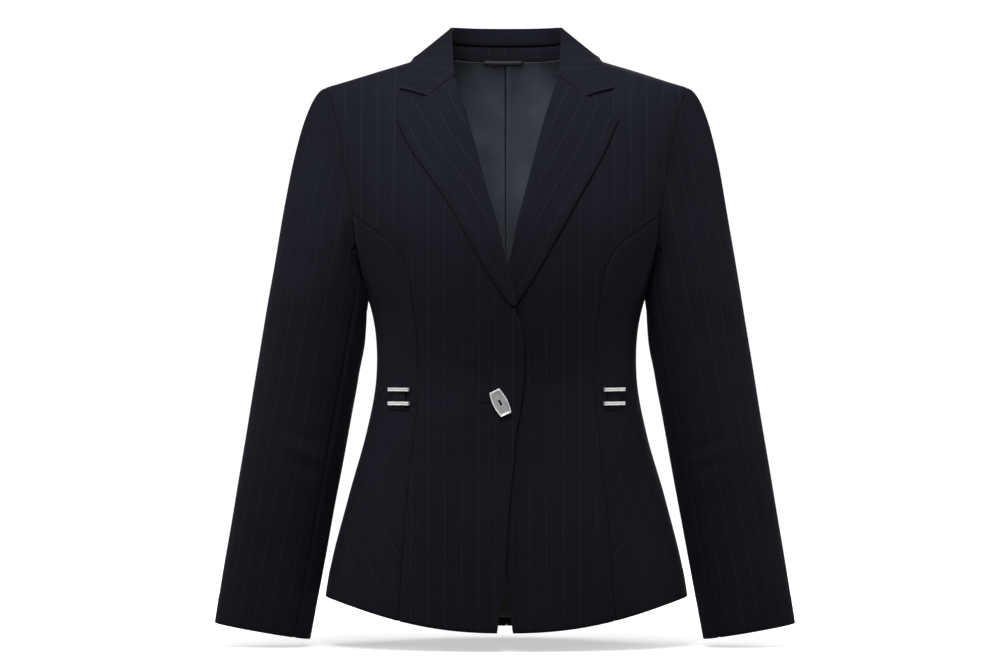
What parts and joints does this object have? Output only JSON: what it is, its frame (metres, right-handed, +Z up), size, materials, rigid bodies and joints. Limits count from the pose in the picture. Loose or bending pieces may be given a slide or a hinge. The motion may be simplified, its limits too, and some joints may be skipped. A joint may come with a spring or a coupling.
{
  "type": "pinstripe blazer",
  "caption": "Hollow single-breasted women's blazer with notched lapels, long sleeves, a slotted metal button and short metal bars at the waist.",
  "frame": {"origin": "in the neck opening, halfway between front and back, close under the side neck points, where a wearer's neck and shoulders hold the garment up", "axes": "+Z up along the body, +Y towards the back, +X towards the wearer's left; the fronts face -Y"},
  "size_m": [0.6378, 0.2629, 0.6737],
  "materials": {
    "suiting": "dark navy wool-blend suiting with a faint pinstripe, matt",
    "satin": "grey-blue lining satin, soft sheen",
    "brushed_metal": "brushed nickel"
  },
  "bodies": {
    "root": {"back_left": "suiting", "back_right": "suiting", "button": "brushed_metal", "collar": "suiting", "collar_stand": "suiting", "front_left": "suiting", "front_right": "suiting", "hanging_loop": "satin", "lapel_left": "suiting", "lapel_right": "suiting", "lining_back": "satin", "side_left": "suiting", "side_right": "suiting", "top_sleeve_left": "suiting", "top_sleeve_right": "suiting", "under_sleeve_left": "suiting", "under_sleeve_right": "suiting", "waist_bar_left_lower": "brushed_metal", "waist_bar_left_upper": "brushed_metal", "waist_bar_right_lower": "brushed_metal", "waist_bar_right_upper": "brushed_metal", "waist_tab_left": "suiting", "waist_tab_right": "suiting"}
  },
  "joints": []
}
